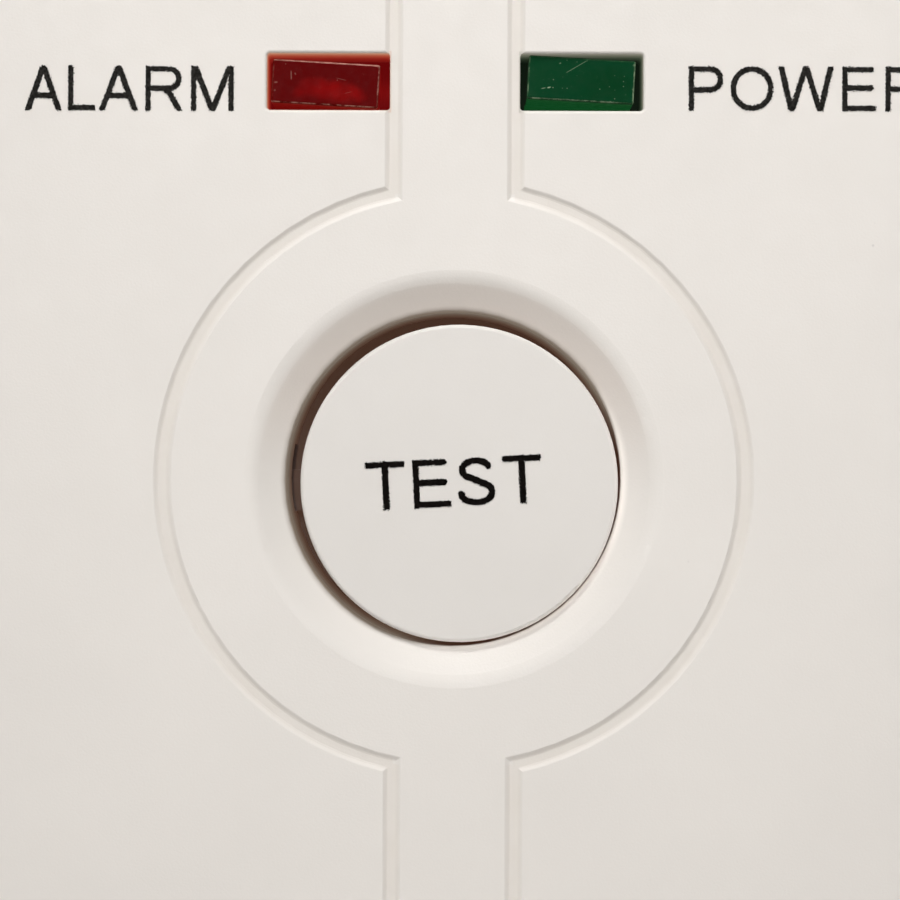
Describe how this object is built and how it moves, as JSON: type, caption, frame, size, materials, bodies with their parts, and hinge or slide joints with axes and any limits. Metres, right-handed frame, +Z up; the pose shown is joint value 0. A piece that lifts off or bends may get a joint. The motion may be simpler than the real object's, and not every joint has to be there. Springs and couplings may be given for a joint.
{
  "type": "carbon monoxide detector",
  "caption": "Wall-mounted battery carbon monoxide alarm with a sprung test button, two indicator lamps, slotted face, hinged battery door and hook-on wall plate.",
  "frame": {"origin": "on the wall plane (the back face of the wall plate), straight behind the centre of the test button's hole", "axes": "+X to the right as the face is seen, +Y from the face to the wall, +Z up"},
  "size_m": [0.076, 0.042, 0.12],
  "materials": {
    "cover_plastic": "warm white ABS with a very fine satin texture",
    "housing_plastic": "warm white ABS with a very fine satin texture",
    "plate_plastic": "warm white ABS, satin",
    "door_plastic": "warm white ABS, satin",
    "button_plastic": "warm white ABS, slightly smoother than the cover",
    "label_film": "plain silver-grey film, blank",
    "red_lamp": "diffused red epoxy, scratched",
    "green_lamp": "diffused green epoxy, scratched",
    "spring_steel": "bright spring wire",
    "tinned_steel": "tinned leads, satin",
    "solder": "bright solder",
    "black_plastic": "black moulded plastic",
    "sensor_plastic": "white moulded plastic",
    "sensor_steel": "pressed stainless cap",
    "sounder_brass": "brass disc with a silvered ceramic layer",
    "board_laminate": "green solder mask on glass-fibre laminate",
    "chip_epoxy": "black moulded epoxy",
    "chip_ceramic": "tan ceramic with tinned ends",
    "capacitor_sleeve": "dark blue shrink sleeve on an aluminium can",
    "ferrite": "dark grey ferrite",
    "copper_wire": "enamelled copper winding",
    "cell_sleeve": "plain printed film over a steel can",
    "contact_nickel": "nickel-plated strip",
    "screw_steel": "zinc-plated screw"
  },
  "bodies": {
    "wall_plate": {"wall_plate": "plate_plastic"},
    "alarm_body": {"alarm_lamp": "red_lamp", "alarm_lamp_leads": "tinned_steel", "board_screws": "screw_steel", "bottom_cell": "cell_sleeve", "button_spring": "spring_steel", "capacitor_leads": "tinned_steel", "capacitors": "capacitor_sleeve", "case_screws": "screw_steel", "chip_legs": "tinned_steel", "chip_parts": "chip_ceramic", "circuit_board": "board_laminate", "controller_chip": "chip_epoxy", "front_cover": "cover_plastic", "inductor_core": "ferrite", "inductor_leads": "tinned_steel", "inductor_winding": "copper_wire", "link_contact_left": "contact_nickel", "link_contact_right": "contact_nickel", "middle_cell": "cell_sleeve", "negative_contact": "contact_nickel", "positive_contact": "contact_nickel", "power_lamp": "green_lamp", "power_lamp_leads": "tinned_steel", "rear_housing": "housing_plastic", "sensor_body": "sensor_plastic", "sensor_cap": "sensor_steel", "sensor_pins": "tinned_steel", "solder_joints": "solder", "sounder_base": "black_plastic", "sounder_case": "black_plastic", "sounder_disc": "sounder_brass", "sounder_pins": "tinned_steel", "switch_body": "black_plastic", "switch_pins": "tinned_steel", "switch_plate": "tinned_steel", "top_cell": "cell_sleeve", "transistor_leads": "tinned_steel", "transistors": "chip_epoxy"},
    "test_button": {"test_button": "button_plastic"},
    "switch_plunger": {"switch_plunger": "black_plastic"},
    "battery_door": {"battery_door": "door_plastic", "door_label": "label_film"}
  },
  "joints": [
    {"name": "unhook_slide", "type": "slide", "parent": "wall_plate", "child": "alarm_body", "axis": [0, 0, 1], "range_m": [0, 0.006]},
    {"name": "button_press", "type": "slide", "parent": "alarm_body", "child": "test_button", "axis": [0, 1, 0], "range_m": [0, 0.0005], "stiffness_N_per_m": 90, "springref_m": -0.005, "deforming": ["button_spring"]},
    {"name": "plunger_press", "type": "slide", "parent": "alarm_body", "child": "switch_plunger", "axis": [0, 1, 0], "range_m": [0, 0.0005]},
    {"name": "door_hinge", "type": "hinge", "parent": "alarm_body", "child": "battery_door", "pos_m": [0, -0.0043, -0.0539], "axis": [-1, 0, 0], "range_deg": [0, 95]}
  ],
  "couplings": [
    {"joint": "plunger_press", "follows": "button_press", "ratio": 1}
  ]
}
